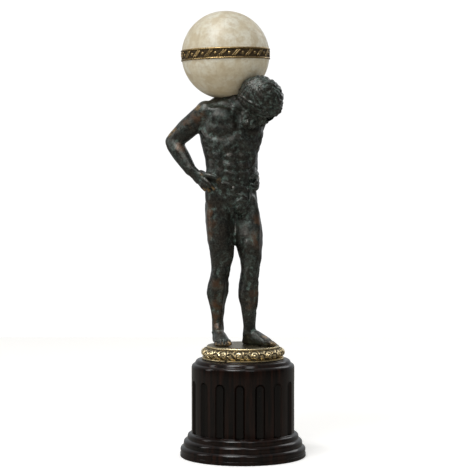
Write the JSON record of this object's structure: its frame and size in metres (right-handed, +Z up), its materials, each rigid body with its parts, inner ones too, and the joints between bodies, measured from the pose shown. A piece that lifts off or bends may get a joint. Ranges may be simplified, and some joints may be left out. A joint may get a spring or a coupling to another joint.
{
  "type": "atlas statue",
  "caption": "Bronze giant with hands on hips carrying a cream globe with a gilt band, on a gilt scroll-ornamented stand and a fluted dark wood plinth",
  "frame": {"origin": "middle of the plinth's flat underside", "axes": "+Z up; the viewer of the picture stands at -Y and +X is to that viewer's right"},
  "size_m": [0.2121, 0.1906, 0.6698],
  "materials": {
    "mahogany": "very dark polished wood, red-brown in the light",
    "gilt_bronze": "antique gilt bronze with dark recesses and a satin top disc",
    "patinated_bronze": "dark green-black patina with verdigris, rubbed golden on the high points",
    "ivory_veneer": "satin cream surface with faint joints and mottling",
    "old_gold": "old gold with dark ground"
  },
  "bodies": {
    "root": {"plinth": "mahogany", "socle": "gilt_bronze", "figure": "patinated_bronze", "globe": "ivory_veneer", "globe_band": "old_gold"}
  },
  "joints": []
}
